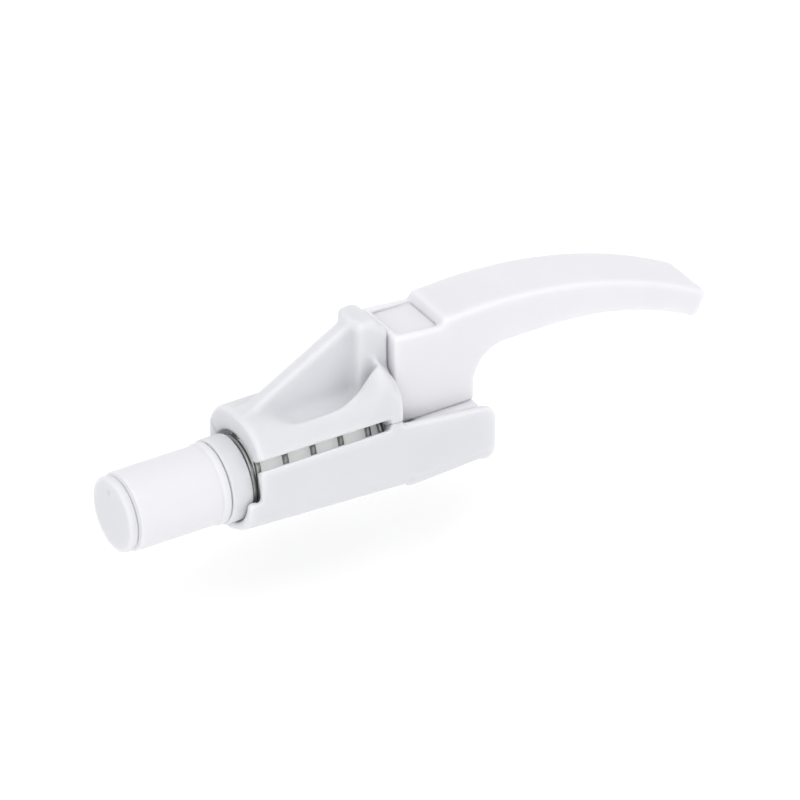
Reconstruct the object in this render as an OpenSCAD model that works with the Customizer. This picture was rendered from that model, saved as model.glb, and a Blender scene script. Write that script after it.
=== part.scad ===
// Spring-loaded slide latch of a stair gate.
// Origin: on the bolt's axis, at the hood's mouth. +X runs back towards the lever, +Z is up.

/* [Bolt] */
// Diameter of the bolt's barrel
bolt_d = 20.4; // [20:0.1:20.8]
// How far the bolt's front end stands out of the mouth
bolt_reach = 35; // [33:0.5:38]
// Diameter of the separate nose
nose_d = 19.5; // [18.4:0.1:19.8]
// Thickness of the nose outside the barrel
nose_t = 2.4; // [2:0.1:3]
// Diameter of the bead round the barrel's rear end
bead_d = 21.2; // [21:0.1:21.4]
// Diameter of the thrust collar
collar_d = 22; // [21.4:0.1:22.2]
// Length of the thrust collar
collar_len = 5.6; // [5:0.1:6]

/* [Guide rod and spring] */
// Diameter of the guide rod inside the spring
rod_d = 16; // [15:0.5:16]
// Outside diameter of the spring
spring_d = 20.8; // [20:0.1:21]
// Diameter of the spring's wire
wire_d = 1.6; // [1.3:0.1:1.6]
// Pitch of the open coils
pitch = 7.9; // [7.6:0.1:8.1]

/* [Housing] */
// Radius of the spring chamber
chamber_r = 11.4; // [11.2:0.1:11.6]
// Half the housing's width
half_w = 13.4; // [13.2:0.1:13.8]
// Height of the mouth arch above the bolt's axis
arch_top = 18; // [17.6:0.1:18.6]
// Length of the hood, mouth to the bulkhead's back
hood_len = 40.7; // [40.5:0.1:41]
// Thickness of the bulkhead
bulkhead_t = 2.7; // [2.5:0.1:3]
// Length of the cradle behind the mouth
cradle_len = 67.8; // [67:0.2:69]
// How far the cradle's lower lip stands in front of the mouth
lip = 3.5; // [3:0.5:4]
// Width of the side slots
slot_w = 2.4; // [2.2:0.1:2.8]
// Angle of the side slots from the top
slot_angle = 54; // [53:1:55]
// Thickness of the fin
fin_t = 4.2; // [3.6:0.2:4.6]
// Height of the post at the fin's high end
post_top = 36.3; // [35.5:0.1:37]
// Height of the cradle's rails above the axis
rail_top = 8.8; // [8.4:0.1:9]

/* [Slider and lever] */
// How far the bolt can be drawn back
travel = 14; // [10:1:14]
// Half the lever's width
lever_half_w = 8.6; // [8.4:0.1:8.8]
// Length of the lever from the mouth plane to its tip
lever_reach = 134; // [130:1:138]
// Height of the lever's flat top
lever_top = 32.8; // [32.4:0.1:33]
// Thickness of the lever's skin
skin = 2.2; // [2:0.1:2.4]

/* [Hidden] */

$fn = 96;
hull_fn = 32;
eps = 0.5;          // how far a cutter runs past a face
gap = 0.3;          // clearance between sliding faces
far = 60;           // longer than any cut needs to be

white = "white";
plastic = [0.93, 0.93, 0.95];
steel = [0.5, 0.5, 0.5];

bolt_r = bolt_d / 2;
bead_r = bead_d / 2;
nose_r = nose_d / 2;
barrel_front = nose_t - bolt_reach;
collar_back = -1.2;
collar_front = collar_back - collar_len;
bead_len = 2.8;
bead_back = collar_front - 0.1;
bead_front = bead_back - bead_len;
tail_r = 8.8;       // tube behind the barrel that carries the collar
spigot_r = 6.5;     // the rod's front end, inside the barrel
plug_r = 5.5;       // the nose's plug
plug_len = 7;
core_front = barrel_front + plug_len;
spigot_front = -24;
pin_r = 1.5;

rod_r = rod_d / 2;
bulkhead_front = hood_len - bulkhead_t;
rod_hole_r = rod_r + gap;
shell_z = -0.9;     // the shell's middle lies a little below the bolt's axis
carriage_front = hood_len + 0.2;
carriage_back = 64.2;
rod_seat = 8;       // depth of the rod's seat in the carriage
rod_back = carriage_front + rod_seat;

trough_half_w = 11.2;
trough_floor = -9.4;
trough_corner = 4;
rail_drop = 2.6;    // the rails fall by this much towards the back
cradle_corner_r = 7;
keel_half_w = 3.5;
keel_depth = 12.7;
keel_back = 4;
cradle_depth = 12;  // from the shell's middle to its underside

shoe_front = 46;    // the carriage's wide part, between the rails
shoe_top = 6;
neck_half_w = 7.4;
core_half_w = 5.8;
core_back = 61.8;
core_top = 24;
lever_bottom = shoe_top + 0.2;

stop_x = 60.2;
stop_r = 2;
stop_head_r = 3.8;
stop_head_t = 1.8;
stop_slot_depth = 2.3;
stop_floor_t = 2;   // left under the stop screw's head

lever_screw_at = [[46.5, -3], [51.3, 3]];
lever_screw_r = 1.45;
lever_screw_head_r = 2.6;
lever_screw_head_t = 1.8;
lever_screw_tip = 13;
recess_floor = 28.2;
recess_half_w = 6.5;
recess_back = 54.2;
cover_t = 2;

rod_screw_r = 2.2;
screw_seat = carriage_back - 4.2;   // the rod screw's head is sunk in the carriage
rod_screw_front = 30;
washer_r = 5.2;
washer_t = 1;
screw_head_r = 4.2;
screw_head_t = 2.6;
cross_w = 1;
cross_depth = 1.2;

// ---- helpers ----

// Turns a shape drawn round Z, or a section drawn in XY, so that its Z runs along X
// and its section lies in YZ: section x becomes Y, section y becomes Z.
module along_x(x = 0) {
    translate([x, 0, 0]) rotate([90, 0, 90]) children();
}

module rod_x(r, x0, x1) {
    along_x(x0) cylinder(r = r, h = x1 - x0);
}

// A profile drawn in XZ, extruded evenly to both sides of the middle plane.
module side_slab(half) {
    translate([0, half, 0]) rotate([90, 0, 0]) linear_extrude(height = 2 * half) children();
}

module box_at(x0, x1, half, z0, z1) {
    translate([x0, -half, z0]) cube([x1 - x0, 2 * half, z1 - z0]);
}

// Points of an arc in the XZ plane, from angle a0 to a1.
function arc(cx, cz, r, a0, a1, n = 12) =
    [for (i = [0 : n]) let (a = a0 + (a1 - a0) * i / n) [cx + r * cos(a), cz + r * sin(a)]];

// ---- bolt ----

module bolt_barrel() {
    color(white) difference() {
        union() {
            rod_x(bolt_r, barrel_front + 0.6, bead_front + 0.4);
            rod_x(bolt_r - 0.5, barrel_front, barrel_front + 1);
            along_x(bead_front) rotate_extrude() bead_outline();
            rod_x(tail_r, bead_back - 0.2, collar_back);
        }
        rod_x(plug_r, barrel_front - eps, core_front);
        rod_x(spigot_r, spigot_front, collar_back + eps);
        drive_pin_cut();
    }
}

// Half section of the rounded bead at the barrel's rear end.
module bead_outline() {
    r = bead_len / 2;
    square([bolt_r - 1, bead_len]);
    translate([bead_r - r, r]) circle(r = r);
}

module drive_pin_cut() {
    translate([(collar_front + collar_back) / 2, 0, -tail_r - eps])
        cylinder(r = pin_r, h = 2 * (tail_r + eps), $fn = 48);
}

module bolt_nose() {
    gate_y = 1.4;
    gate_z = 5.8;
    color(white) difference() {
        union() {
            along_x(-bolt_reach) cylinder(r1 = nose_r - 0.5, r2 = nose_r, h = 0.5);
            rod_x(nose_r, -bolt_reach + 0.5, barrel_front);
            rod_x(plug_r - 0.05, barrel_front - 0.5, core_front - 0.4);
        }
        translate([0, gate_y, gate_z]) rod_x(0.7, -bolt_reach - eps, -bolt_reach + 0.4);
    }
}

module thrust_collar() {
    color(plastic) difference() {
        union() {
            along_x(collar_front) cylinder(r1 = collar_d / 2 - 0.5, r2 = collar_d / 2, h = 0.5);
            rod_x(collar_d / 2, collar_front + 0.5, collar_back);
        }
        rod_x(tail_r + 0.03, collar_front - eps, collar_back + eps);
    }
}

module drive_pin() {
    color(steel) translate([(collar_front + collar_back) / 2, 0, 0]) difference() {
        translate([0, 0, 0.2 - tail_r]) cylinder(r = pin_r - 0.02, h = 2 * (tail_r - 0.2), $fn = 48);
        translate([0, 0, -tail_r - eps]) cylinder(r = pin_r / 2, h = 2 * (tail_r + eps), $fn = 48);
    }
}

// ---- guide rod and spring ----

module guide_rod() {
    color(white) difference() {
        union() {
            rod_x(rod_r, collar_back, rod_back);
            rod_x(spigot_r - 0.05, spigot_front + 1, collar_back + eps);
        }
        rod_x(rod_screw_r, rod_screw_front - 2, rod_back + eps);
        drive_pin_cut();
    }
}

// The coil closes up at both ends: its pitch drops to little more than the wire there.
coil_r = (spring_d - wire_d) / 2;
spring_front = collar_back + wire_d / 2 + 0.02;
spring_back = bulkhead_front - wire_d / 2 - 0.02;
closed_pitch = wire_d * 1.02;
front_turns = 1.1;
open_turns = 4.35;
turns = 6.3;
front_run = front_turns * closed_pitch;
steps_per_turn = 28;
wire_sides = 8;
coil_steps = round(turns * steps_per_turn);
start_angle = 199;

function coil_x(t) =
    t < front_turns ? t * closed_pitch
    : t < front_turns + open_turns ? front_run + (t - front_turns) * pitch
    : let (left = spring_back - spring_front - front_run - open_turns * pitch)
      front_run + open_turns * pitch
      + left * (t - front_turns - open_turns) / (turns - front_turns - open_turns);

function coil_point(i, j) =
    let (t = turns * i / coil_steps,
         a = start_angle - 360 * t,
         b = 360 * j / wire_sides,
         r = coil_r + wire_d / 2 * cos(b))
    [spring_front + coil_x(t) + wire_d / 2 * sin(b), r * cos(a), r * sin(a)];

module compression_spring() {
    points = [for (i = [0 : coil_steps], j = [0 : wire_sides - 1]) coil_point(i, j)];
    sides = [for (i = [0 : coil_steps - 1], j = [0 : wire_sides - 1])
        let (k = (j + 1) % wire_sides)
        [i * wire_sides + j, (i + 1) * wire_sides + j,
         (i + 1) * wire_sides + k, i * wire_sides + k]];
    first = [for (j = [0 : wire_sides - 1]) j];
    last = [for (j = [wire_sides - 1 : -1 : 0]) coil_steps * wire_sides + j];
    color(steel) polyhedron(points = points, faces = concat(sides, [first], [last]), convexity = 10);
}

// ---- housing ----
// The shell's sections are drawn round its own middle and set down by shell_z.

// Section of the upper shell, seen along X: straight sides with a round-shouldered top.
module arch_section(top, corner, sides = $fn) {
    square_low = -2;
    translate([-half_w, square_low]) square([2 * half_w, top - corner - square_low]);
    translate([corner - half_w, square_low]) square([2 * (half_w - corner), top - square_low]);
    for (side = [-1, 1])
        translate([side * (half_w - corner), top - corner]) circle(r = corner, $fn = sides);
}

// Along X, the height of the shoulders and the radius they are rounded to: almost level,
// then a cove up to a peak beside the post, and down to the back edge.
shoulders = [[18, 18.1, 10.6], [25, 18.9, 10], [30, 21.3, 8.5], [34.9, 26.2, 6.5],
             [36.2, 26.2, 6.5], [hood_len, 19.9, 6.5]];

// The upper shell's outside, before it is parted from the cradle.
module hood_outside() {
    slice = 0.1;
    along_x() linear_extrude(height = 18.1) arch_section(arch_top, shoulders[0][2]);
    for (i = [0 : len(shoulders) - 2])
        hull() for (s = [shoulders[i], shoulders[i + 1]])
            along_x(min(s[0], hood_len - slice)) linear_extrude(height = slice)
                arch_section(s[1], s[2], hull_fn * 2);
    fin();
    post();
}

module fin() {
    side_slab(fin_t / 2)
        polygon([[1.5, 12], [1.5, 18], [33, 36.1], [36, 30], [36, 12]]);
}

post_half = 5.6;
post_front = 32.2;
post_back = 38.5;

// Post at the high end of the fin, with a rounded crest that falls towards the slider.
module post() {
    front_r = 1.6;
    back_r = 2.6;
    side_slab(post_half) polygon(concat(
        [[post_front, 12]],
        arc(post_front + front_r, post_top - front_r, front_r, 180, 90, 6),
        arc(post_back - back_r, post_top - back_r, back_r, 90, 20, 5),
        [[hood_len - 0.2, 31.5], [hood_len - 0.2, 12]]));
}

// Open pocket between the fin and each cheek: it slopes in from the front and runs on
// beside the post.
module pockets() {
    floor_z = 15.4;
    inner = fin_t / 2;
    outer = 8.6;
    pocket_back = 36.4;
    for (side = [-1, 1]) {
        translate([0, side * (inner + outer) / 2, 0]) side_slab((outer - inner) / 2)
            polygon([[6, 19], [6, 18.1], [13, floor_z], [post_front, floor_z], [post_front, far],
                     [6, far]]);
        translate([0, side * (post_half + outer) / 2, 0]) side_slab((outer - post_half) / 2)
            polygon([[post_front - eps, floor_z], [pocket_back, floor_z], [pocket_back, far],
                     [post_front - eps, far]]);
    }
}

// The near slot is open at the mouth; the other one starts a little behind it.
module slots() {
    slot_end = 37.1;
    for (side = [-1, 1])
        rotate([-side * slot_angle, 0, 0])
            translate([side > 0 ? 3 : -eps, -slot_w / 2, 2])
                cube([slot_end - (side > 0 ? 3 : -eps), slot_w, far / 2]);
}

// The wedge above the side slots, which belongs to the hood.
module hood_zone() {
    reach = far / cos(slot_angle);
    along_x(-eps) linear_extrude(height = hood_len + 2 * eps)
        polygon([[0, 0], [reach * sin(slot_angle), far], [-reach * sin(slot_angle), far]]);
}

module spring_chamber() {
    flare = 0.7;
    rod_x(chamber_r, -lip - eps, bulkhead_front);
    rod_x(rod_hole_r, bulkhead_front - eps, hood_len + eps);
    along_x(-eps) cylinder(r1 = chamber_r + flare + eps, r2 = chamber_r, h = flare + eps);
}

module housing_hood() {
    color(plastic) difference() {
        intersection() {
            translate([0, 0, shell_z]) hood_outside();
            hood_zone();
        }
        translate([0, 0, shell_z]) pockets();
        spring_chamber();
        slots();
    }
}

// Section of the lower shell at the back: flat bottomed, with round corners.
module cradle_section(bottom, corner) {
    wall_top = 10;
    hull() {
        for (side = [-1, 1]) {
            translate([side * (half_w - corner), bottom + corner]) circle(r = corner, $fn = hull_fn);
            translate([side * (half_w - 1), wall_top]) square(2, center = true);
        }
    }
}

// Round at the mouth, boxier towards a step under the slider, then rising to the back.
module cradle_outside() {
    step_x = 44;
    slice = 0.1;
    hull() {
        along_x(-lip) linear_extrude(height = slice)
            cradle_section(-cradle_depth, cradle_depth - 0.4);
        along_x(step_x) linear_extrude(height = slice)
            cradle_section(-cradle_depth, cradle_corner_r);
    }
    hull() {
        along_x(step_x - 1) linear_extrude(height = slice)
            cradle_section(-cradle_depth - 0.8, cradle_corner_r - 1);
        along_x(cradle_len - slice) linear_extrude(height = slice)
            cradle_section(-cradle_depth + 0.6, cradle_corner_r);
    }
    // thicker flange round the back end
    along_x(cradle_len - 2.6) linear_extrude(height = 2.6)
        cradle_section(-cradle_depth - 0.3, cradle_corner_r);
    box_at(-lip, keel_back, keel_half_w, -keel_depth, -cradle_depth + 1);
}

// Flat-topped trough section with rounded lower corners, shrunk all round by inset.
module trough_section(top, inset = 0) {
    w = trough_half_w - inset;
    low = trough_floor + inset;
    r = trough_corner - inset;
    translate([-w, low + r]) square([2 * w, top - low - r]);
    translate([r - w, low]) square([2 * (w - r), top - low]);
    for (side = [-1, 1]) translate([side * (w - r), low + r]) circle(r = r);
}

// Everything above the rails, whose back ends are rounded off.
module above_rails() {
    round_r = 4.2;
    back_top = rail_top - rail_drop;
    side_slab(far) polygon(concat(
        [[hood_len, far], [hood_len, rail_top]],
        arc(cradle_len - round_r, back_top - round_r, round_r, 90, 0, 6),
        [[cradle_len + eps, back_top - round_r], [cradle_len + eps, far]]));
}

module housing_cradle() {
    color(plastic) difference() {
        translate([0, 0, shell_z]) difference() {
            cradle_outside();
            // the lip in front of the mouth is a half shell
            box_at(-lip - eps, 0, far, 0, far);
            above_rails();
            along_x(hood_len) linear_extrude(height = cradle_len) trough_section(far);
        }
        hood_zone();
        spring_chamber();
        slots();
        stop_screw_hole();
    }
}

module stop_screw_hole() {
    floor_z = trough_floor + shell_z;
    translate([stop_x, 0, -far / 2]) cylinder(r = stop_r, h = far / 2 + floor_z + eps, $fn = 48);
    translate([stop_x, 0, -far / 2])
        cylinder(r = stop_head_r + gap, h = far / 2 + floor_z - stop_floor_t, $fn = 48);
}

// ---- slider and lever ----

module slider_carriage() {
    color(white) difference() {
        translate([0, 0, shell_z]) union() {
            along_x(shoe_front) linear_extrude(height = carriage_back - shoe_front)
                trough_section(shoe_top, gap);
            box_at(carriage_front, shoe_front + 1, neck_half_w, trough_floor + gap, shoe_top);
            box_at(carriage_front + skin + gap, core_back, core_half_w, shoe_top - 1, core_top);
        }
        rod_x(rod_r + 0.03, carriage_front - eps, rod_back);
        rod_x(rod_screw_r + gap, rod_back - eps, carriage_back + eps);
        rod_x(washer_r + gap, screw_seat, carriage_back + eps);
        stop_slot();
        for (at = lever_screw_at) lever_screw_hole(at);
    }
}

// Groove under the carriage that the stop screw's end runs in.
module stop_slot() {
    slot_r = stop_r + gap;
    translate([stop_x - travel, 0, trough_floor + shell_z]) {
        cylinder(r = slot_r, h = stop_slot_depth, $fn = 48);
        translate([travel, 0, 0]) cylinder(r = slot_r, h = stop_slot_depth, $fn = 48);
        translate([0, -slot_r, 0]) cube([travel, 2 * slot_r, stop_slot_depth]);
    }
}

module lever_screw_hole(at) {
    translate([at[0], at[1], shell_z]) {
        translate([0, 0, lever_screw_tip - 0.5])
            cylinder(r = lever_screw_r + 0.05, h = far, $fn = 48);
        translate([0, 0, recess_floor - lever_screw_head_t - 0.2])
            cylinder(r = lever_screw_head_r + 0.2, h = far, $fn = 48);
    }
}

// Top line of the lever: level at the step, then one long arc down to the tip.
arc_top_x = 69;
lever_arc_r = 132;
step_x = 54.5;
// Underside: round throat, then a tighter arc to the tip.
throat_r = 9.3;
throat_top = 20.4;
under_x = 86;
under_r = 92;
tip_lean = 3;       // the end face leans with the arc

function top_angle(x) = 90 - asin((x - arc_top_x) / lever_arc_r);
function under_angle(x) = 90 - asin((x - under_x) / under_r);

module lever_outline() {
    tip_bottom = lever_reach - tip_lean;
    polygon(concat(
        [[carriage_front, lever_bottom],
         [carriage_front, 31.5],
         [step_x, 30.5],
         [step_x + 0.7, lever_top - 0.7]],
        arc(arc_top_x, lever_top - lever_arc_r, lever_arc_r, top_angle(step_x + 1.4),
            top_angle(lever_reach), 24),
        [[tip_bottom + 0.3, 9.4]],
        arc(under_x, throat_top - under_r, under_r, under_angle(tip_bottom - 1), 90, 14),
        arc(carriage_back + throat_r, throat_top - throat_r, throat_r, 90, 180, 8),
        [[carriage_back, lever_bottom]]));
}

module pull_lever() {
    color(white) difference() {
        translate([0, 0, shell_z]) difference() {
            side_slab(lever_half_w) lever_outline();
            box_at(carriage_front + 2, recess_back, recess_half_w, recess_floor, far);
            box_at(carriage_front + skin, core_back + gap, core_half_w + gap,
                   lever_bottom - eps, core_top);
            claw_hollow();
        }
        // room for the rod's end, which stands up above the carriage's shoulders
        rod_x(rod_r + gap, carriage_front - eps, rod_back + gap);
        for (at = lever_screw_at) lever_screw_hole(at);
    }
}

// The claw is hollow from below, with its skin left all round and cross ribs.
module claw_hollow() {
    rib_x = [82, 94, 106, 118];
    rib_t = 1.6;
    hollow_front = 72;
    hollow_back = 130;
    side_slab_half = lever_half_w - skin;
    difference() {
        side_slab(side_slab_half) polygon(concat(
            [[hollow_front, 4], [hollow_front, 27]],
            arc(arc_top_x, lever_top - lever_arc_r, lever_arc_r - skin, top_angle(hollow_front + 3),
                top_angle(hollow_back), 16),
            [[hollow_back - tip_lean, 4]]));
        for (x = rib_x) box_at(x, x + rib_t, lever_half_w, 0, far);
    }
}

// Plate in the top recess that hides the lever's screws.
module screw_cover() {
    edge = 0.15;
    color(plastic) translate([0, 0, shell_z])
        box_at(carriage_front + 2 + edge, recess_back - 2 * edge, recess_half_w - edge,
               recess_floor, recess_floor + cover_t);
}

// ---- fasteners ----

// Cross recess in the top of a screw head that is h high.
module cross_recess(h, size = 1) {
    for (a = [0, 90])
        rotate([0, 0, a])
            translate([-2 * size, -cross_w * size / 2, h - cross_depth * size])
                cube([4 * size, cross_w * size, far]);
}

module rod_screw() {
    head_x = screw_seat + washer_t;
    color(steel) union() {
        rod_x(rod_screw_r - 0.05, rod_screw_front, head_x + eps);
        along_x(head_x) difference() {
            cylinder(r = screw_head_r, h = screw_head_t);
            cross_recess(screw_head_t);
        }
    }
}

module screw_washer() {
    color(steel) difference() {
        rod_x(washer_r, screw_seat, screw_seat + washer_t);
        rod_x(rod_screw_r + 0.1, screw_seat - eps, screw_seat + washer_t + eps);
    }
}

module lever_screws() {
    head_z = recess_floor - lever_screw_head_t - 0.2;
    shank = head_z - lever_screw_tip + eps;
    color(steel) for (at = lever_screw_at)
        translate([at[0], at[1], shell_z]) {
            translate([0, 0, lever_screw_tip]) cylinder(r = lever_screw_r, h = shank, $fn = 48);
            translate([0, 0, head_z]) difference() {
                cylinder(r = lever_screw_head_r, h = lever_screw_head_t, $fn = 48);
                cross_recess(lever_screw_head_t, 0.75);
            }
        }
}

module stop_screw() {
    reach = 1.9;    // above the trough's floor, into the carriage's groove
    color(steel) translate([stop_x, 0, trough_floor + shell_z - stop_floor_t]) {
        mirror([0, 0, 1]) difference() {
            cylinder(r = stop_head_r, h = stop_head_t, $fn = 48);
            cross_recess(stop_head_t);
        }
        translate([0, 0, -eps])
            cylinder(r = stop_r - 0.05, h = eps + stop_floor_t + reach, $fn = 48);
    }
}

bolt_barrel();
bolt_nose();
thrust_collar();
drive_pin();
guide_rod();
compression_spring();
housing_hood();
housing_cradle();
slider_carriage();
pull_lever();
screw_cover();
rod_screw();
screw_washer();
lever_screws();
stop_screw();
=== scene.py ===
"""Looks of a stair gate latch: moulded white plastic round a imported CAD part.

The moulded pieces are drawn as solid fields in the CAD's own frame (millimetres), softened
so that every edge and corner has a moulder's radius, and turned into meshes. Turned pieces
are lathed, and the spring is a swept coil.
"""
import math

import bpy
import numpy as np
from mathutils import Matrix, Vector


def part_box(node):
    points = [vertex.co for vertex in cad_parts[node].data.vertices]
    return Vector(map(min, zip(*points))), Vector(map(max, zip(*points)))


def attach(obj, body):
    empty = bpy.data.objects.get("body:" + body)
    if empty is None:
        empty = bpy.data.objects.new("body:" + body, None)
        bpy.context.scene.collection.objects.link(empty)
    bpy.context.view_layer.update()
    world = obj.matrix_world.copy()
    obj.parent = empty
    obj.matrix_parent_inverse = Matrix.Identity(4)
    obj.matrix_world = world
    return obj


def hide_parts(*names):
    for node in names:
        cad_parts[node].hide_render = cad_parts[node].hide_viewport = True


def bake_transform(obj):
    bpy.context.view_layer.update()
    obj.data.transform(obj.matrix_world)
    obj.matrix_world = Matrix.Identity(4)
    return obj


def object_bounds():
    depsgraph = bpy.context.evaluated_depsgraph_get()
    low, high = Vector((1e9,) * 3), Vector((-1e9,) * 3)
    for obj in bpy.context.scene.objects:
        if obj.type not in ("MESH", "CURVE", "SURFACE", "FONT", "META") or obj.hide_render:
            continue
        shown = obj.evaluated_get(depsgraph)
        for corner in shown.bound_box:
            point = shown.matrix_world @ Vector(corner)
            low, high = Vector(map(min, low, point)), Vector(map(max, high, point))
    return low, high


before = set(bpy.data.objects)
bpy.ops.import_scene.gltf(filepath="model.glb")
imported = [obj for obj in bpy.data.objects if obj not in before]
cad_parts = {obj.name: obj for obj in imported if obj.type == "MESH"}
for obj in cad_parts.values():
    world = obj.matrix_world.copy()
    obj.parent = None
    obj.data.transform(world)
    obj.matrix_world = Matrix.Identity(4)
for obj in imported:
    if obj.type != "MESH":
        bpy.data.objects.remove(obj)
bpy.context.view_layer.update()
MM = 0.001

# ---- driving sizes, in millimetres ----

BOLT_R, BEAD_R, NOSE_R, COLLAR_R = 10.2, 10.6, 9.75, 11.0
NOSE_FRONT, BARREL_FRONT = -35.0, -32.6
BEAD_FRONT, BEAD_LEN = -9.7, 2.8
COLLAR_FRONT, COLLAR_BACK = -6.8, -1.2
TAIL_R, PLUG_R, PLUG_BACK = 8.8, 5.45, -26.0
GATE_Y, GATE_Z, GATE_R, GATE_DEPTH = 1.4, 5.8, 0.7, 0.45
AXIS_GAP = 0.2           # radius of the smallest ring that closes the barrel's ends

CHAMBER_R, ROD_HOLE_R = 11.4, 8.3
MOUTH_FLARE = 0.3
HALF_W = 13.4
HOOD_LEN, BULKHEAD_FRONT = 40.7, 38.0
CRADLE_LEN, CRADLE_DEPTH, LIP = 67.8, 12.0, 3.5
SHELL_Z = -0.9           # the shells' middle plane lies a little below the bolt's axis
SLOT_HALF, SLOT_END, FAR_SLOT_FRONT = 1.2, 37.1, 3.0
SLOT_ANGLE = math.radians(54)
SEAM = 0.3               # each shell reaches this far past the joint, so that no groove shows
FIN_HALF, POST_HALF, POST_TOP = 2.1, 5.6, 36.3
POCKET_HALF, POCKET_FLOOR = 8.6, 15.4
KEEL_HALF, KEEL_DEPTH, KEEL_BACK = 3.5, 12.7, 4.0
RAIL_TOP, RAIL_CORNER_R = 8.8, 4.2
TROUGH_HALF, TROUGH_FLOOR, TROUGH_CORNER = 11.2, -9.4, 4.0
STOP_X, STOP_R, STOP_HEAD_R = 60.2, 2.0, 4.1
TRAVEL = 14.0

CARRIAGE_FRONT, CARRIAGE_BACK = 40.9, 64.2
SHOE_FRONT, SHOE_TOP, NECK_HALF = 46.0, 6.15, 7.4
CORE_HALF, CORE_BACK, CORE_TOP = 5.8, 61.8, 24.0
PLAY = 0.3               # room round the slider and round its core
SEAT_DEPTH, SCREW_SEAT_DEPTH = 8.0, 4.2
LEVER_HALF, LEVER_TOP, LEVER_REACH, LEVER_LOW = 8.6, 32.8, 134.0, 6.2
SKIN = 2.2
LEVER_ARC_R, ARC_TOP_X = 132.0, 69.0
THROAT_R, THROAT_TOP = 9.3, 20.4
UNDER_X, UNDER_R = 86.0, 92.0
RECESS_FRONT, RECESS_BACK, RECESS_FLOOR, RECESS_HALF = 42.9, 54.2, 28.2, 6.5
FAR = 80.0               # beyond every piece

WIRE_R, COIL_R = 0.8, 9.6
COIL_FRONT, COIL_BACK, PITCH = -0.38, 37.18, 7.9
TURNS, FRONT_TURNS, OPEN_TURNS = 6.3, 1.1, 4.35
COIL_START = 199         # where the wire starts, in degrees round the bolt's axis

LATHE_SIDES = 120


# ---- solid fields: negative inside, in millimetres ----

def rounded(a, b, r):
    """Where two half-spaces both hold, with the corner between them rounded to r."""
    a, b = a + r, b + r
    return np.minimum(np.maximum(a, b), 0) + np.hypot(np.maximum(a, 0), np.maximum(b, 0)) - r


def blend_union(a, b, k):
    """Either solid, with a fillet of about k where they meet."""
    h = np.clip(0.5 + 0.5 * (b - a) / k, 0, 1)
    return b + (a - b) * h - k * h * (1 - h)


def cut(a, b, k=0.05):
    """Solid a without solid b, its rim softened by k."""
    return -blend_union(-a, b, k)


def between(v, low, high):
    return np.maximum(low - v, v - high)


def tube_x(p, r, x0, x1):
    return np.maximum(np.hypot(p[1], p[2]) - r, between(p[0], x0, x1))


def peg_z(p, x, r, top):
    """A hole of radius r on the middle plane, from below every piece up to top."""
    return np.maximum(np.hypot(p[0] - x, p[1]) - r, between(p[2], -FAR, top))


def block(p, x, half, z):
    """A box from x[0] to x[1], as wide as half to both sides, from z[0] to z[1]."""
    return np.maximum(np.maximum(between(p[0], *x), np.abs(p[1]) - half), between(p[2], *z))


def arc(cx, cz, r, a0, a1, n):
    angles = np.radians(np.linspace(a0, a1, n + 1))
    return [(cx + r * math.cos(a), cz + r * math.sin(a)) for a in angles]


def outline(points, x, z):
    """Signed distance to a closed outline in the XZ plane."""
    shape = np.broadcast(x, z).shape
    nearest, inside = np.full(shape, 1e9), np.zeros(shape, bool)
    for (ax, az), (bx, bz) in zip(points, points[1:] + points[:1]):
        ex, ez = bx - ax, bz - az
        t = np.clip(((x - ax) * ex + (z - az) * ez) / (ex * ex + ez * ez + 1e-12), 0, 1)
        nearest = np.minimum(nearest, np.hypot(x - ax - t * ex, z - az - t * ez))
        if ez:
            inside ^= ((az > z) != (bz > z)) & (x < ex * (z - az) / ez + ax)
    return np.where(inside, -nearest, nearest)


def side_slab(p, points, half, edge=0.0):
    """An outline in XZ, as wide as half to both sides, with its long edges rounded."""
    flat = outline(points, p[0][:, :1, :], p[2][:, :1, :])
    return rounded(flat, np.abs(p[1]) - half, edge)


def lowered(p):
    """p as measured from the shells' middle plane."""
    return p[0], p[1], p[2] - SHELL_Z


def slot_plane(p):
    """Distance past the planes that part the hood from the cradle, positive below them."""
    return np.abs(p[1]) * math.cos(SLOT_ANGLE) - p[2] * math.sin(SLOT_ANGLE)


def inner_spaces(p):
    """The chamber, the rod's hole and the side slots."""
    x, y, z = p
    chamber = tube_x(p, CHAMBER_R, -30, BULKHEAD_FRONT)
    mouth = np.hypot(y, z) - CHAMBER_R - MOUTH_FLARE + np.clip(x, -1, 5)
    mouth = np.maximum(mouth, between(x, -1, MOUTH_FLARE))
    hole = tube_x(p, ROD_HOLE_R, 30, HOOD_LEN + 5)
    slot_front = np.where(y > 0, FAR_SLOT_FRONT, -5.0)
    slots = np.maximum(np.abs(slot_plane(p)) - SLOT_HALF, between(x, slot_front, SLOT_END))
    slots = np.maximum(slots, -z)
    return np.minimum(np.minimum(chamber, mouth), np.minimum(hole, slots))


def soft_line(points, spread):
    """A line through points that rounds its corners over about spread."""
    xs = np.linspace(points[0][0] - 10, points[-1][0] + 10, 900)
    ys = np.interp(xs, *zip(*points))
    half = 60
    reach = np.arange(-half, half + 1) * (xs[1] - xs[0])
    kernel = np.exp(-0.5 * (reach / spread) ** 2)
    ys = np.convolve(np.pad(ys, half, mode="edge"), kernel / kernel.sum(), mode="valid")
    return lambda x: np.interp(x, xs, ys)


shoulder_height = soft_line([(0, 18.0), (18, 18.1), (25, 18.9), (30, 21.3), (34.9, 26.5),
                             (36.2, 26.5), (HOOD_LEN, 19.9)], 0.9)

shoulder_radius = soft_line([(0, 10.6), (18, 10.6), (25, 10), (30, 8.5), (34.9, 6.5),
                             (HOOD_LEN, 6.5)], 1.5)


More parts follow.
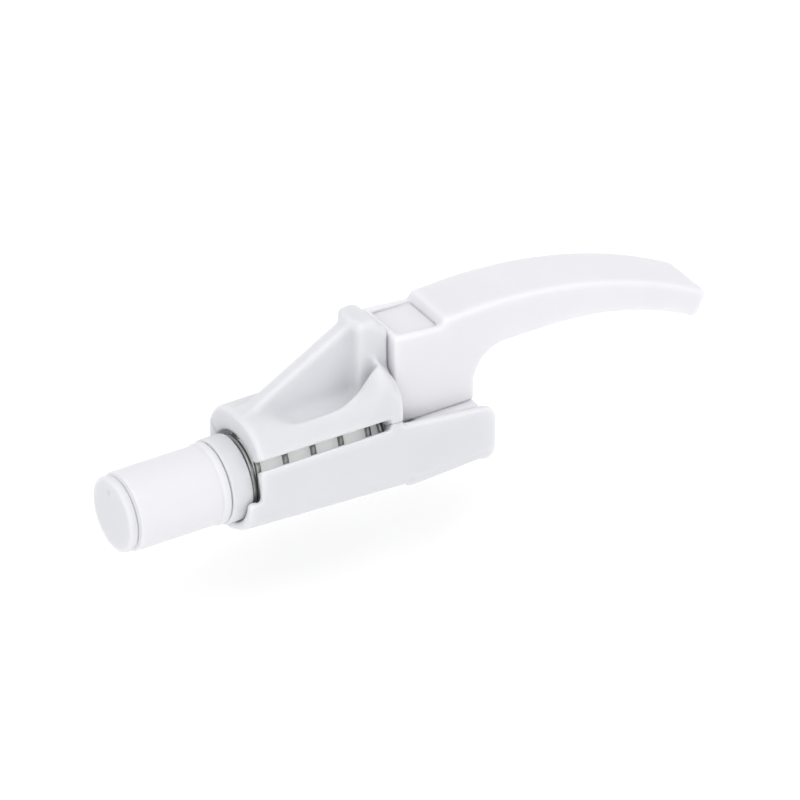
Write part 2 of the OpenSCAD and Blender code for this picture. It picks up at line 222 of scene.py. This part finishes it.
def hood(p):
    """Upper shell: rounded shoulders that rise to a peak, open pockets, a fin and its post."""
    q = x, y, z = lowered(p)
    arch = rounded(np.abs(y) - HALF_W, z - shoulder_height(x), shoulder_radius(x))
    arch = rounded(arch, between(x, 0, HOOD_LEN), 0.8)
    pocket_front, pocket_back, fillet = 5.4, 36.4, 2.4
    pocket = side_slab(q, [(pocket_front, FAR), (pocket_front, 18.5), (13.2, POCKET_FLOOR),
                           (pocket_back, POCKET_FLOOR), (pocket_back, FAR)], POCKET_HALF, 1.6)
    solid = cut(arch, pocket, 1.1)
    root = 11                # the fin and the post start down in the arch
    fin = side_slab(q, [(1.5, root), (1.5, 18), (33, 36.1), (36, 30), (36, root)], FIN_HALF, 0.7)
    post = side_slab(q, [(32.2, root), *arc(33.9, POST_TOP - 1.7, 1.7, 180, 90, 5),
                         *arc(35.9, POST_TOP - 2.6, 2.6, 90, 20, 5),
                         (HOOD_LEN + 2, 31.3), (HOOD_LEN + 2, root)], POST_HALF, 1.6)
    post = np.maximum(post, x - HOOD_LEN + 0.1)
    solid = blend_union(solid, blend_union(fin, post, fillet), fillet)
    solid = np.maximum(solid, slot_plane(p) - SEAM)
    return cut(solid, inner_spaces(p), 0.3)


def cradle(p):
    """Lower shell: a half-round lip at the front, and behind the hood a trough with two rails."""
    q = x, y, z = lowered(p)
    step, soft = 43.6, 0.5
    lip_corner, rear_corner = 11.6, 7.0

    def length(depth, corner, x0, x1):
        """The shell from x0 to x1, as deep as depth, with its lower corners rounded."""
        section = rounded(np.abs(y) - HALF_W, -z - depth, corner)
        return rounded(section, between(x, x0, x1), soft)

    along = np.clip((x + LIP) / (step + LIP), 0, 1)
    front_corner = lip_corner + (rear_corner - lip_corner) * along
    front = length(CRADLE_DEPTH, front_corner, -LIP, step + 4)
    step_depth, rise = 12.8, 1.4
    back_depth = step_depth - rise * np.clip((x - step) / (CRADLE_LEN - step), 0, 1)
    back = length(back_depth, 6.5, step, CRADLE_LEN)
    flange = length(CRADLE_DEPTH + 0.3, rear_corner, CRADLE_LEN - 2.6, CRADLE_LEN)
    solid = blend_union(blend_union(front, back, soft), flange, soft)
    keel = block(q, (-LIP, KEEL_BACK), KEEL_HALF, (-KEEL_DEPTH, 1 - CRADLE_DEPTH))
    solid = blend_union(solid, keel, 0.8)
    # all of the front below the hood, and the rails with their round rear corners
    kept = [(-LIP - 1, -30), (-LIP - 1, 0), (0, 0), (0, FAR), (HOOD_LEN, FAR),
            (HOOD_LEN, RAIL_TOP), *arc(CRADLE_LEN - RAIL_CORNER_R, 2.0, RAIL_CORNER_R, 84, 0, 8),
            (CRADLE_LEN, -30)]
    solid = rounded(solid, side_slab(q, kept, FAR), 0.6)
    solid = np.maximum(solid, np.where(x < HOOD_LEN, -slot_plane(p) - SEAM, -1.0))
    trough = rounded(np.abs(y) - TROUGH_HALF, TROUGH_FLOOR - z, TROUGH_CORNER)
    trough = np.maximum(trough, HOOD_LEN - x)
    floor_z = TROUGH_FLOOR + SHELL_Z
    stop_hole = np.minimum(peg_z(p, STOP_X, STOP_R, floor_z + 1),
                           peg_z(p, STOP_X, STOP_HEAD_R, floor_z - 2.0))
    solid = cut(solid, trough, 0.7)
    return cut(cut(solid, stop_hole), inner_spaces(p), 0.3)


def lever(p):
    """Claw-shaped lever: a block over the slider, a step, and one long arc to the tip."""
    q = x, y, z = lowered(p)
    tip_low = LEVER_REACH - 3.0
    centre_z = LEVER_TOP - LEVER_ARC_R

    def on_arc(at, centre, r):
        return 90 - math.degrees(math.asin((at - centre) / r))

    def top_arc(r, x0, x1, n):
        return arc(ARC_TOP_X, centre_z, r, on_arc(x0, ARC_TOP_X, LEVER_ARC_R),
                   on_arc(x1, ARC_TOP_X, LEVER_ARC_R), n)

    side = [(CARRIAGE_FRONT, LEVER_LOW - 3), *arc(CARRIAGE_FRONT + 0.8, 30.7, 0.8, 180, 90, 3),
            (54.5, 30.5), *arc(56.2, LEVER_TOP - 1.3, 1.0, 180, 100, 4),
            *top_arc(LEVER_ARC_R, 58, LEVER_REACH, 24), (tip_low + 0.3, 9.4),
            *arc(UNDER_X, THROAT_TOP - UNDER_R, UNDER_R, on_arc(tip_low - 1, UNDER_X, UNDER_R),
                 90, 16),
            *arc(CARRIAGE_BACK + THROAT_R, THROAT_TOP - THROAT_R, THROAT_R, 90, 180, 10),
            (CARRIAGE_BACK, LEVER_LOW - 3)]
    front_edge = 0.4 + 0.5 * np.clip((x - CARRIAGE_FRONT) / 6, 0, 1)
    solid = rounded(side_slab(q, side, LEVER_HALF, front_edge), between(z, LEVER_LOW, FAR), 0.15)
    recess = side_slab(q, [(RECESS_FRONT, RECESS_FLOOR), (RECESS_BACK, RECESS_FLOOR),
                           (RECESS_BACK, FAR), (RECESS_FRONT, FAR)], RECESS_HALF)
    recess = rounded(recess, RECESS_FLOOR - z, 0.3)
    core_room = block(q, (CARRIAGE_FRONT + SKIN, CORE_BACK + PLAY), CORE_HALF + PLAY,
                      (-5, CORE_TOP))
    hollow_front, hollow_back, open_z = 72, 127, -9
    hollow = side_slab(q, [(hollow_front, open_z), (hollow_front, 27),
                           *top_arc(LEVER_ARC_R - SKIN, 75, 130, 16), (hollow_back, open_z)],
                       LEVER_HALF - SKIN, 0.8)
    rib_t = 1.6
    ribs = np.minimum.reduce([between(x, at, at + rib_t) for at in (82, 94, 106, 118)])
    hollow = np.maximum(hollow, -ribs)
    solid = cut(cut(solid, recess, 0.5), core_room)
    rod_room = tube_x(p, ROD_HOLE_R, 30, CARRIAGE_FRONT + (SEAT_DEPTH + PLAY))
    return cut(solid, np.minimum(hollow, rod_room), 0.4)


def carriage(p):
    """Slider between the rails, with a core that stands up inside the lever."""
    q = x, y, z = lowered(p)
    shoe = rounded(np.abs(y) - TROUGH_HALF + PLAY, TROUGH_FLOOR + PLAY - z, TROUGH_CORNER - PLAY)
    shoe = rounded(np.maximum(shoe, between(x, SHOE_FRONT, CARRIAGE_BACK)), z - SHOE_TOP, 0.2)
    neck = block(q, (CARRIAGE_FRONT, SHOE_FRONT + 1), NECK_HALF, (TROUGH_FLOOR + PLAY, 6.0))
    core = block(q, (CARRIAGE_FRONT + SKIN + PLAY, CORE_BACK), CORE_HALF, (5, CORE_TOP))
    solid = np.minimum(np.minimum(shoe, neck), core)
    rod_seat = tube_x(p, 8.03, 30, CARRIAGE_FRONT + SEAT_DEPTH)
    screw_hole = np.minimum(tube_x(p, 2.5, 40, 90),
                            tube_x(p, 5.5, CARRIAGE_BACK - SCREW_SEAT_DEPTH, 90))
    groove_half = STOP_R + PLAY
    groove = np.maximum(np.abs(y) - groove_half,
                        between(x, STOP_X - (TRAVEL + groove_half), STOP_X + groove_half))
    groove_depth = 2.3
    groove = np.maximum(groove, z - TROUGH_FLOOR - groove_depth)
    return cut(solid, np.minimum(np.minimum(rod_seat, screw_hole), groove))


def nose(p):
    """Front disc of the bolt, with its plug and a small gate mark in the end face."""
    around = np.hypot(p[1], p[2])
    disc = rounded(around - NOSE_R, between(p[0], NOSE_FRONT, BARREL_FRONT), 0.7)
    plug = np.maximum(around - PLUG_R, between(p[0], BARREL_FRONT - 1, PLUG_BACK))
    mark = np.hypot(p[1] - GATE_Y, p[2] - GATE_Z) - GATE_R
    mark = np.maximum(mark, p[0] - NOSE_FRONT - GATE_DEPTH)
    return cut(np.minimum(disc, plug), mark, 0.2)


# ---- meshes ----

def make_piece(name, points, faces):
    mesh = bpy.data.meshes.new(name)
    mesh.from_pydata((np.asarray(points) * MM).tolist(), [], faces)
    mesh.validate()
    mesh.polygons.foreach_set("use_smooth", [True] * len(mesh.polygons))
    mesh.update()
    piece = bpy.data.objects.new(name, mesh)
    bpy.context.scene.collection.objects.link(piece)
    return piece


def blurred(f, sigma):
    """f with its sharp corners spread over sigma cells. Flat faces stay where they are."""
    half = 3
    reach = np.arange(-half, half + 1)
    kernel = np.exp(-0.5 * (reach / sigma) ** 2)
    kernel /= kernel.sum()
    for axis in range(3):
        padding = [(half, half) if a == axis else (0, 0) for a in range(3)]
        padded = np.pad(f, padding, mode="edge")
        f = sum(k * np.take(padded, range(i, i + f.shape[axis]), axis)
                for i, k in enumerate(kernel))
    return f


def cell_points(f, origin, cell):
    """One point in each cell that the surface crosses, and each cell's index among them."""
    cells = tuple(n - 1 for n in f.shape)
    total, count = np.zeros(cells + (3,)), np.zeros(cells)
    for axis in range(3):
        a = np.take(f, range(f.shape[axis] - 1), axis)
        b = np.take(f, range(1, f.shape[axis]), axis)
        crossed = (a < 0) != (b < 0)
        t = np.where(crossed, a / np.where(crossed, a - b, 1), 0)
        others = [o for o in range(3) if o != axis]
        for i in (0, 1):
            for j in (0, 1):
                window = [slice(None)] * 3
                window[others[0]] = slice(i, i + cells[others[0]])
                window[others[1]] = slice(j, j + cells[others[1]])
                hit = crossed[tuple(window)]
                count += hit
                total[..., axis] += hit * t[tuple(window)]
                total[..., others[0]] += hit * i
                total[..., others[1]] += hit * j
    used = count > 0
    index = np.full(cells, -1)
    index[used] = np.arange(used.sum())
    corner = np.stack(np.nonzero(used), -1)
    return origin + (corner + total[used] / count[used][:, None]) * cell, index


def crossing_faces(inside, index):
    """A four-sided face round each grid edge that runs through the surface."""
    quads = []
    for axis in range(3):
        u, v = (axis + 1) % 3, (axis + 2) % 3
        inner = [slice(1, n) for n in index.shape]
        inner[axis] = slice(0, index.shape[axis])
        after = list(inner)
        after[axis] = slice(1, index.shape[axis] + 1)
        here, there = inside[tuple(inner)], inside[tuple(after)]
        at = np.stack(np.nonzero(here != there), -1)
        leaving = here[tuple(at.T)]
        at = at + [0 if a == axis else 1 for a in range(3)]
        ring = []
        for du, dv in ((-1, -1), (0, -1), (0, 0), (-1, 0)):
            c = at.copy()
            c[:, u] += du
            c[:, v] += dv
            ring.append(index[tuple(c.T)])
        ring = np.stack(ring, -1)
        ring[~leaving] = ring[~leaving][:, ::-1]
        quads.append(ring)
    return np.concatenate(quads).tolist()


def field_mesh(name, field, low, high, cell, soften):
    """Mesh of a solid field by surface nets, kept inside the box from low to high."""
    margin = 3.5 * cell
    axes = [np.arange(lo - margin, hi + margin, cell) for lo, hi in zip(low, high)]
    grid = np.meshgrid(*axes, indexing="ij")
    f = blurred(field(grid), soften)
    for v, lo, hi in zip(grid, low, high):
        f = np.maximum(f, between(v, lo, hi))
    points, index = cell_points(f, np.array([a[0] for a in axes]), cell)
    return make_piece(name, points, crossing_faces(f < 0, index))


def lathe(name, profile, closed=False):
    """Turns a profile of (x, radius) points round the bolt's axis."""
    sides, rows = LATHE_SIDES, len(profile)
    angles = np.linspace(0, 2 * math.pi, sides, endpoint=False)
    points = [(x, r * math.cos(a), r * math.sin(a)) for x, r in profile for a in angles]
    faces = [(i * sides + j, i * sides + (j + 1) % sides,
              (i + 1) % rows * sides + (j + 1) % sides, (i + 1) % rows * sides + j)
             for i in range(rows if closed else rows - 1) for j in range(sides)]
    if not closed:
        faces += [tuple(range(sides))[::-1], tuple((rows - 1) * sides + j for j in range(sides))]
    return make_piece(name, points, faces)


def coil_x(turn):
    """Where the wire is along the bolt's axis: close-wound at both ends, open between."""
    closed = WIRE_R * 2 * 1.02
    knots = [0, FRONT_TURNS, FRONT_TURNS + OPEN_TURNS, TURNS]
    places = [0, FRONT_TURNS * closed, FRONT_TURNS * closed + OPEN_TURNS * PITCH,
              COIL_BACK - COIL_FRONT]
    return COIL_FRONT + np.interp(turn, knots, places)


def coil(name, steps=56, sides=14):
    """The coil spring: a round wire swept along a helix, its ends ground to a soft corner."""
    turn = np.linspace(0, TURNS, int(TURNS * steps))
    angle = np.radians(COIL_START - 360 * turn)
    from_end = np.minimum(turn, TURNS - turn) * 2 * math.pi * COIL_R
    wire = WIRE_R * np.sqrt(np.clip(1 - (1 - np.clip(from_end / 0.6, 0, 1)) ** 2, 0.35, 1))
    x = coil_x(turn)
    slope = np.gradient(x, turn * 2 * math.pi * COIL_R)
    points = []
    for a, w, cx, s in zip(angle, wire, x, slope):
        out = np.array([0, math.cos(a), math.sin(a)])
        along = np.array([s, math.sin(a), -math.cos(a)]) / math.hypot(s, 1)
        third = np.cross(out, along)
        for b in np.linspace(0, 2 * math.pi, sides, endpoint=False):
            points.append(np.array([cx, 0, 0]) + out * (COIL_R + w * math.cos(b))
                          + third * w * math.sin(b))
    rings = len(turn)
    faces = [(i * sides + j, (i + 1) * sides + j,
              (i + 1) * sides + (j + 1) % sides, i * sides + (j + 1) % sides)
             for i in range(rings - 1) for j in range(sides)]
    faces += [tuple(range(sides)), tuple((rings - 1) * sides + j for j in range(sides))[::-1]]
    return make_piece(name, points, faces)


# ---- materials ----

class Shading:
    """A new material, and the few kinds of node that the plastics and the steels share."""

    def __init__(self, name):
        self.material = bpy.data.materials.new(name)
        self.material.use_nodes = True
        self.nodes, self.links = self.material.node_tree.nodes, self.material.node_tree.links
        self.inputs = self.nodes["Principled BSDF"].inputs
        self.place = self.nodes.new("ShaderNodeTexCoord").outputs["Object"]
        self.normal = None

    def noise(self, scale, detail):
        node = self.nodes.new("ShaderNodeTexNoise")
        node.inputs["Scale"].default_value = scale
        node.inputs["Detail"].default_value = detail
        self.links.new(self.place, node.inputs["Vector"])
        return node.outputs["Fac"]

    def tint(self, light, shade, factor):
        node = self.nodes.new("ShaderNodeMix")
        node.data_type = "RGBA"
        node.inputs["A"].default_value = (*light, 1)
        node.inputs["B"].default_value = (*shade, 1)
        self.links.new(factor, node.inputs["Factor"])
        self.links.new(node.outputs["Result"], self.inputs["Base Color"])

    def roughness(self, low, high, factor):
        node = self.nodes.new("ShaderNodeMapRange")
        node.inputs["To Min"].default_value = low
        node.inputs["To Max"].default_value = high
        self.links.new(factor, node.inputs["Value"])
        self.links.new(node.outputs["Result"], self.inputs["Roughness"])

    def bump(self, strength, distance, height):
        """Adds a bump on top of the one before it."""
        node = self.nodes.new("ShaderNodeBump")
        node.inputs["Strength"].default_value = strength
        node.inputs["Distance"].default_value = distance
        self.links.new(height, node.inputs["Height"])
        if self.normal:
            self.links.new(self.normal, node.inputs["Normal"])
        self.normal = node.outputs["Normal"]
        self.links.new(self.normal, self.inputs["Normal"])


def plastic(name, light, shade, rough, grain, wax):
    """Moulded plastic: a faint cloudy tint, a fine satin grain and a trace of sink marks."""
    s = Shading(name)
    s.inputs["IOR"].default_value = 1.49
    s.inputs["Specular IOR Level"].default_value = 0.45
    s.inputs["Subsurface Weight"].default_value = wax
    s.inputs["Subsurface Radius"].default_value = (0.0034, 0.0032, 0.0031)
    s.inputs["Subsurface Scale"].default_value = 1.0
    s.tint(light, shade, s.noise(55, 3))
    s.roughness(rough - 0.05, rough + 0.07, s.noise(140, 4))
    s.bump(grain, 0.00003, s.noise(2600, 3))
    s.bump(0.35, 0.00025, s.noise(70, 1))
    return s.material


def steel(name, light, shade, rough):
    """Drawn and plated steel, with fine draw marks and a little dulling."""
    s = Shading(name)
    s.inputs["Metallic"].default_value = 1.0
    marks = s.noise(700, 5)
    s.tint(light, shade, marks)
    s.roughness(rough - 0.08, rough + 0.12, marks)
    s.bump(0.3, 0.00002, marks)
    return s.material


def glow_inside(material, strength, full_to, none_from):
    """Stands for the daylight that the milky shells let through to a part on the bolt's axis.

    It is at full strength up to full_to and fades out to none_from, towards the end that comes
    out into the open when the bolt is drawn in.
    """
    nodes, links = material.node_tree.nodes, material.node_tree.links
    shader = nodes["Principled BSDF"]
    shader.inputs["Emission Color"].default_value = (1, 1, 0.99, 1)
    place, split = nodes.new("ShaderNodeTexCoord"), nodes.new("ShaderNodeSeparateXYZ")
    fade = nodes.new("ShaderNodeMapRange")
    fade.interpolation_type = "SMOOTHSTEP"
    for socket, value in {"From Min": full_to * MM, "From Max": none_from * MM,
                          "To Min": strength, "To Max": 0}.items():
        fade.inputs[socket].default_value = value
    links.new(place.outputs["Object"], split.inputs["Vector"])
    links.new(split.outputs["X"], fade.inputs["Value"])
    links.new(fade.outputs["Result"], shader.inputs["Emission Strength"])


white = plastic("white_moulding", (0.705, 0.70, 0.73), (0.68, 0.675, 0.705), 0.4, 0.35, 0.8)
milky = plastic("shell_moulding", (0.64, 0.645, 0.67), (0.615, 0.62, 0.645), 0.5, 0.5, 0.9)
rod_white = plastic("rod_moulding", (0.735, 0.735, 0.74), (0.705, 0.705, 0.71), 0.42, 0.3, 0.5)
glow_inside(rod_white, 0.33, 29, 45)
wire_steel = steel("spring_wire", (0.36, 0.363, 0.36), (0.2, 0.203, 0.2), 0.38)
plated = steel("plated_steel", (0.58, 0.58, 0.58), (0.42, 0.42, 0.43), 0.34)


def dress(piece, body, material, slot, *nodes):
    piece.data.materials.append(material)
    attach(piece, body)
    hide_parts(*nodes)


# ---- pieces ----

FIELD_SOFTEN = 0.8       # in cells of each piece's own size, which is the last of its values
for name, field, body, material, slot, node, cell in (
        ("hood", hood, "housing", milky, "shell_plastic", "housing_hood", 0.5),
        ("cradle", cradle, "housing", milky, "shell_plastic", "housing_cradle", 0.5),
        ("lever", lever, "bolt_and_lever", white, "white_plastic", "pull_lever", 0.5),
        ("carriage", carriage, "bolt_and_lever", white, "white_plastic", "slider_carriage", 0.6),
        # the nose takes the greyer shell plastic: partly its own greyer tone, partly painted
        # shade on its end face, which faces away from the light
        ("nose", nose, "bolt_and_lever", milky, "white_plastic", "bolt_nose", 0.28)):
    low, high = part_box(node)
    piece = field_mesh(name, field, [v / MM for v in low], [v / MM for v in high], cell,
                       FIELD_SOFTEN)
    dress(piece, body, material, slot, node)

bead_mid, bead_half, bead_back = BEAD_FRONT + BEAD_LEN / 2, BEAD_LEN / 2, BEAD_FRONT + BEAD_LEN
barrel = lathe("barrel", [
    (BARREL_FRONT, AXIS_GAP), (BARREL_FRONT, BOLT_R - 0.8), (BARREL_FRONT + 0.1, BOLT_R - 0.55),
    (BARREL_FRONT + 0.45, BOLT_R - 0.5), *arc(BARREL_FRONT + 1.0, BOLT_R - 0.5, 0.5, 172, 90, 6),
    (-24, BOLT_R), (-16, BOLT_R), (BEAD_FRONT + 0.1, BOLT_R),
    *arc(bead_mid, BEAD_R - bead_half, bead_half, 132, 90, 7),
    *arc(bead_back - 0.6, BEAD_R - 0.6, 0.6, 90, 8, 6),
    (bead_back, TAIL_R + 0.3), (bead_back + 0.05, TAIL_R),
    (COLLAR_BACK, TAIL_R), (COLLAR_BACK, AXIS_GAP)])
dress(barrel, "bolt_and_lever", white, "white_plastic", "bolt_barrel")

collar_bore = TAIL_R + 0.03
collar = lathe("collar", [
    (COLLAR_FRONT, collar_bore), (COLLAR_FRONT, COLLAR_R - 0.7),
    *arc(COLLAR_FRONT + 0.5, COLLAR_R - 0.5, 0.5, 180, 90, 6),
    *arc(COLLAR_BACK - 0.4, COLLAR_R - 0.4, 0.4, 90, 0, 4),
    (COLLAR_BACK, collar_bore)], closed=True)
dress(collar, "bolt_and_lever", milky, "shell_plastic", "thrust_collar")

spring = coil("spring")
spring.data.materials.append(wire_steel)
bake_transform(spring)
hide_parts("compression_spring")

for node, material in {"guide_rod": rod_white, "screw_cover": white, "drive_pin": plated,
                       "rod_screw": plated, "screw_washer": plated, "lever_screws": plated,
                       "stop_screw": plated}.items():
    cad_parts[node].data.materials.clear()
    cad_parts[node].data.materials.append(material)

# ---- floor, light and camera ----

floor_mesh = bpy.data.meshes.new("floor")
floor_half, floor_z = 3.0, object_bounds()[0].z - 0.03
floor_mesh.from_pydata([(-floor_half, -floor_half, floor_z), (floor_half, -floor_half, floor_z),
                        (floor_half, floor_half, floor_z), (-floor_half, floor_half, floor_z)],
                       [], [(0, 1, 2, 3)])
floor = bpy.data.objects.new("floor", floor_mesh)
bpy.context.scene.collection.objects.link(floor)
floor_material = bpy.data.materials.new("pale_floor")
floor_material.use_nodes = True
floor_shader = floor_material.node_tree.nodes["Principled BSDF"]
floor_shader.inputs["Base Color"].default_value = (0.97, 0.97, 0.97, 1)
floor_shader.inputs["Roughness"].default_value = 0.9
floor_shader.inputs["Specular IOR Level"].default_value = 0.1
floor_mesh.materials.append(floor_material)

world = bpy.data.worlds.new("studio")
bpy.context.scene.world = world
world.use_nodes = True
world.node_tree.nodes["Background"].inputs["Color"].default_value = (1, 1, 1, 1)
world.node_tree.nodes["Background"].inputs["Strength"].default_value = 0.95

target = Vector((0.0475, 0, 0.006))


def aim(thing, place):
    """Puts a lamp or a camera at place and points it at the latch."""
    thing.location = place
    thing.rotation_mode = "QUATERNION"
    thing.rotation_quaternion = (target - thing.location).to_track_quat("-Z", "Y")
    bpy.context.scene.collection.objects.link(thing)


for name, place, size, power in (("key", (-0.3, -0.4, 1.2), 0.9, 3.2),
                                 ("fill", (0.9, -0.6, 0.8), 0.8, 1.5),
                                 ("front", (-0.7, -0.95, 0.85), 1.1, 4.0)):
    softbox = bpy.data.lights.new(name, "AREA")
    softbox.shape = "SQUARE"
    softbox.size = size
    softbox.energy = power
    aim(bpy.data.objects.new(name, softbox), place)

azimuth, elevation, distance = math.radians(-31.4), math.radians(32.5), 1.4
camera = bpy.data.objects.new("camera", bpy.data.cameras.new("camera"))
camera.data.lens = 252
camera.data.sensor_width = 36
aim(camera, target + distance * Vector((math.sin(azimuth) * math.cos(elevation),
                                        -math.cos(azimuth) * math.cos(elevation),
                                        math.sin(elevation))))
bpy.context.scene.camera = camera
bpy.context.scene.view_settings.view_transform = "Standard"
